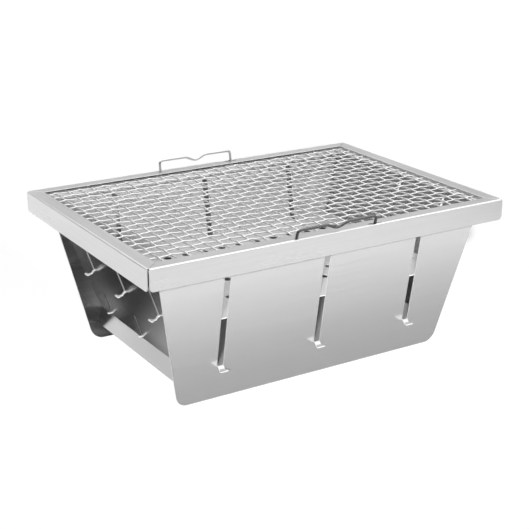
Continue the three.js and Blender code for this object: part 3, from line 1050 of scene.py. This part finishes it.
studio = {
    "floorSize": 14,
    "floorColor": 0.9,
    "floorRoughness": 0.9,
    "surround": {"horizon": 1.1, "middle": 0.33, "top": 1.9, "shadowFill": 0.02,
                 "lowerFade": (0.07, 0.28), "upperFade": (0.36, 0.6), "unlit": 0.1},
    # each unlit side is a direction, and the cosines between which the light fades out towards it
    "unlitSides": [((-0.49, -0.8, 0.34), (0.64, 0.84)), ((-0.596, 0.71, 0.375), (0.9537, 0.97)),
                   ((-0.678, 0.714, 0.174), (0.9877, 0.9954))],
    "sun": {"energy": 9.8, "angle": math.radians(4)},
    "sunPlace": Vector((-0.563, -0.747, 0.354)),
    "softbox": {"energy": 5, "size": 1.2},
    "softboxPlace": Vector((-0.6, -0.9, 1.5)),
    "cardHeight": 0.0005,
    "flag": {"depth": 0.19, "bottom": 0.02, "bottomEnds": (-0.12, 0.42), "top": 0.225,
             "topEnds": (-0.23, 0.22), "grey": 0.01},
}

# A card's brightness runs between two values along an axis, between two places on it
studioCards = {
    "front_card": {"low": (-0.165, -0.36), "high": (0.55, -0.09),
                   "axis": (0, -1, 0), "fade": (0.09, 0.36), "brightness": (0.12, 1)},
    "end_card": {"low": (-0.28, -0.05), "high": (-0.12, 0.5),
                 "axis": (0, 1, 0), "fade": (-0.03, 0.12), "brightness": (0.5, 0.025)},
    "corner_card": {"low": (-1.8, -1.4), "high": (-0.165, -0.05),
                    "axis": (0, -1, 0), "fade": (0.05, 0.1), "brightness": (0.4, 0.02)},
    "far_card": {"low": (0.36, -0.8), "high": (0.95, -0.362),
                 "axis": (1, 0, 0), "fade": (0.52, 0.66), "brightness": (1, 0.35)},
}


def addStageSheet(name, corners):
    mesh = bpy.data.meshes.new(name)
    mesh.from_pydata(corners, [], [(0, 1, 2, 3)])
    sheet = bpy.data.objects.new(name, mesh)
    bpy.context.scene.collection.objects.link(sheet)
    surface = bpy.data.materials.new(name)
    surface.use_nodes = True
    mesh.materials.append(surface)
    return sheet


def surfaceTree(sheet):
    return sheet.data.materials[0].node_tree


def levelCorners(low, high, height):
    return [(low[0], low[1], height), (high[0], low[1], height), (high[0], high[1], height),
            (low[0], high[1], height)]


def addFloor():
    half = studio["floorSize"] / 2
    sheet = addStageSheet("floor", levelCorners((-half, -half), (half, half), 0))
    shader = surfaceTree(sheet).nodes["Principled BSDF"].inputs
    shader["Base Color"].default_value = greyColor(studio["floorColor"])
    shader["Roughness"].default_value = studio["floorRoughness"]


def addCard(name, card):
    sheet = addStageSheet(name, levelCorners(card["low"], card["high"], studio["cardHeight"]))
    sheet.visible_camera = sheet.visible_diffuse = sheet.visible_shadow = False
    tree = surfaceTree(sheet)
    shader = tree.nodes["Principled BSDF"].inputs
    shader["Base Color"].default_value = greyColor(0)
    shader["Specular IOR Level"].default_value = 0
    shader["Emission Color"].default_value = greyColor(1)
    along = addNode(tree, "ShaderNodeVectorMath", {
        0: addNode(tree, "ShaderNodeTexCoord").outputs["Object"], 1: card["axis"],
    }, operation="DOT_PRODUCT")
    strength = graded(tree, along.outputs["Value"], *card["fade"], *card["brightness"])
    tree.links.new(strength, shader["Emission Strength"])


def addFlag(values):
    corners = [(x, values["depth"], values["bottom"]) for x in values["bottomEnds"]]
    corners += [(x, values["depth"], values["top"]) for x in reversed(values["topEnds"])]
    sheet = addStageSheet("flag", corners)
    sheet.visible_camera = sheet.visible_glossy = False
    shader = surfaceTree(sheet).nodes["Principled BSDF"].inputs
    shader["Base Color"].default_value = greyColor(values["grey"])
    shader["Specular IOR Level"].default_value = 0


def addSurround(values, unlitSides):
    world = bpy.data.worlds.new("studio")
    bpy.context.scene.world = world
    world.use_nodes = True
    tree = world.node_tree
    direction = addNode(tree, "ShaderNodeTexCoord").outputs["Generated"]
    height = axesOf(tree, direction)["Z"]
    lower = graded(tree, height, *values["lowerFade"], values["horizon"], values["middle"])
    upper = graded(tree, height, *values["upperFade"], 0, values["top"] - values["middle"])
    path = addNode(tree, "ShaderNodeLightPath")
    fill = calculate(tree, "MULTIPLY", path.outputs["Is Diffuse Ray"], 1 - values["shadowFill"])
    strength = calculate(tree, "MULTIPLY", calculate(tree, "ADD", lower, upper),
                         calculate(tree, "SUBTRACT", 1, fill))
    for side, fade in unlitSides:
        facing = addNode(tree, "ShaderNodeVectorMath", {0: direction, 1: Vector(side).normalized()},
                         operation="DOT_PRODUCT")
        unlit = graded(tree, facing.outputs["Value"], *fade, 1, values["unlit"])
        strength = calculate(tree, "MULTIPLY", strength, unlit)
    background = tree.nodes["Background"].inputs
    background["Color"].default_value = greyColor(1)
    tree.links.new(strength, background["Strength"])


def addLamp(name, kind, place, settings, inReflections, onSurfaces):
    light = bpy.data.lights.new(name, kind)
    for setting, value in settings.items():
        setattr(light, setting, value)
    lamp = bpy.data.objects.new(name, light)
    lamp.location = place
    lamp.rotation_euler = (-place).to_track_quat("-Z", "Y").to_euler()
    lamp.visible_glossy = inReflections
    lamp.visible_diffuse = onSurfaces
    bpy.context.scene.collection.objects.link(lamp)


bpy.context.scene.view_settings.view_transform = "Standard"
addFloor()
for cardName, card in studioCards.items():
    addCard(cardName, card)
addFlag(studio["flag"])
addSurround(studio["surround"], studio["unlitSides"])
addLamp("sun", "SUN", studio["sunPlace"], studio["sun"], inReflections=False, onSurfaces=True)
addLamp("softbox", "AREA", studio["softboxPlace"], studio["softbox"], inReflections=True, onSurfaces=False)
print("studio lit")
